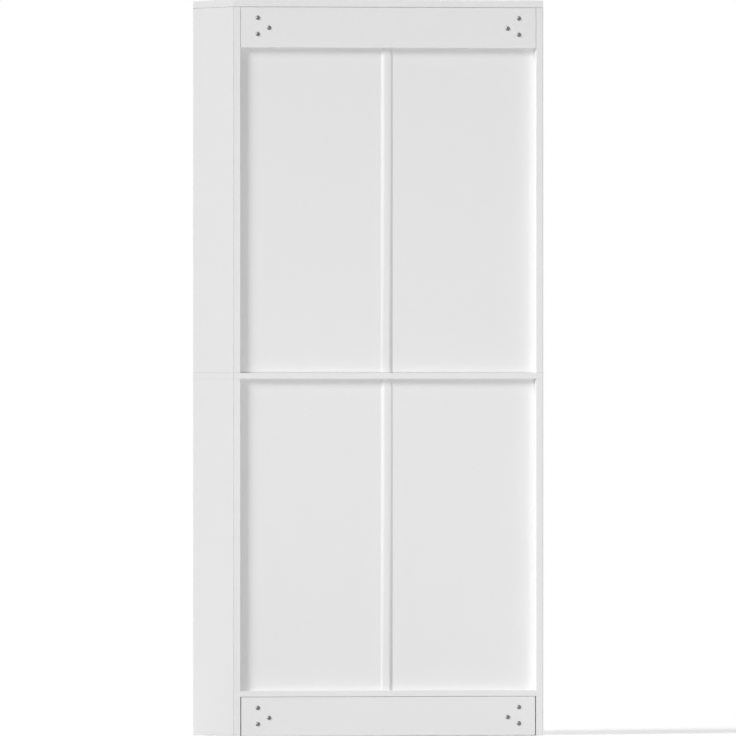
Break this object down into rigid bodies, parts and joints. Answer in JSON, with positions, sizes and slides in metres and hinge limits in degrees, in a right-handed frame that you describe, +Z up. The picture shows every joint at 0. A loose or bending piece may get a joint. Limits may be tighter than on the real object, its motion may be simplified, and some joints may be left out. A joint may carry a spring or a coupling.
{
  "type": "bookcase with doors",
  "caption": "Tall white flat-pack bookcase: open shelves above, framed hinged doors below, thin recessed back panels joined by a strip and held by bolted back rails.",
  "frame": {"origin": "on the floor, under the middle of the whole object, knobs and bolt heads included", "axes": "+Z up, -Y is the front with the doors, +X is the right of someone facing the doors"},
  "size_m": [0.8, 0.409, 1.83],
  "materials": {
    "white_board": "white foil-faced particle board, satin",
    "back_board": "white painted hardboard, satin",
    "door_paint": "white painted fibreboard, satin",
    "strip_plastic": "white extruded plastic, satin",
    "fastener_steel": "zinc-plated steel, polished heads",
    "bolt_steel": "darkened steel, satin domed heads",
    "bracket_steel": "zinc-plated sheet steel",
    "knob_metal": "satin nickel",
    "beech_dowel": "bare beech",
    "catch_plastic": "white moulded plastic",
    "magnet": "ferrite magnet"
  },
  "bodies": {
    "case": {"top_panel": "white_board", "middle_shelf": "white_board", "bottom_shelf": "white_board", "front_plinth": "white_board", "side_panel_upper_left": "white_board", "side_panel_upper_right": "white_board", "side_panel_lower_left": "white_board", "side_panel_lower_right": "white_board", "back_rail_top": "white_board", "back_rail_bottom": "white_board", "back_panel_upper_left": "back_board", "back_panel_upper_right": "back_board", "back_panel_lower_left": "back_board", "back_panel_lower_right": "back_board", "joiner_strip_upper": "strip_plastic", "joiner_strip_lower": "strip_plastic", "rail_bracket_top_left": "bracket_steel", "rail_bracket_top_right": "bracket_steel", "rail_bracket_bottom_left": "bracket_steel", "rail_bracket_bottom_right": "bracket_steel", "rail_bolts": "bolt_steel", "bracket_screws": "fastener_steel", "adjustable_shelf_upper_low": "white_board", "adjustable_shelf_upper_high": "white_board", "adjustable_shelf_lower": "white_board", "shelf_pins": "fastener_steel", "cam_locks": "fastener_steel", "cam_bolts": "fastener_steel", "through_bolts": "fastener_steel", "wood_dowels": "beech_dowel", "case_hinge_leaves": "fastener_steel", "hinge_pins": "fastener_steel", "case_hinge_screws": "fastener_steel", "catch_housing": "catch_plastic", "catch_magnets": "magnet", "catch_screws": "fastener_steel"},
    "door_left": {"door_left_hinge_stile": "door_paint", "door_left_meeting_stile": "door_paint", "door_left_top_rail": "door_paint", "door_left_bottom_rail": "door_paint", "door_left_panel": "door_paint", "door_left_knob": "knob_metal", "door_left_knob_screw": "fastener_steel", "door_left_hinge_leaves": "fastener_steel", "door_left_hinge_screws": "fastener_steel", "door_left_strike_plate": "bracket_steel", "door_left_strike_screw": "fastener_steel"},
    "door_right": {"door_right_hinge_stile": "door_paint", "door_right_meeting_stile": "door_paint", "door_right_top_rail": "door_paint", "door_right_bottom_rail": "door_paint", "door_right_panel": "door_paint", "door_right_knob": "knob_metal", "door_right_knob_screw": "fastener_steel", "door_right_hinge_leaves": "fastener_steel", "door_right_hinge_screws": "fastener_steel", "door_right_strike_plate": "bracket_steel", "door_right_strike_screw": "fastener_steel"}
  },
  "joints": [
    {"name": "door_left_swing", "type": "hinge", "parent": "case", "child": "door_left", "pos_m": [-0.381, -0.1825, 0], "axis": [0, 0, -1], "range_deg": [0, 180]},
    {"name": "door_right_swing", "type": "hinge", "parent": "case", "child": "door_right", "pos_m": [0.381, -0.1825, 0], "axis": [0, 0, 1], "range_deg": [0, 180]}
  ]
}
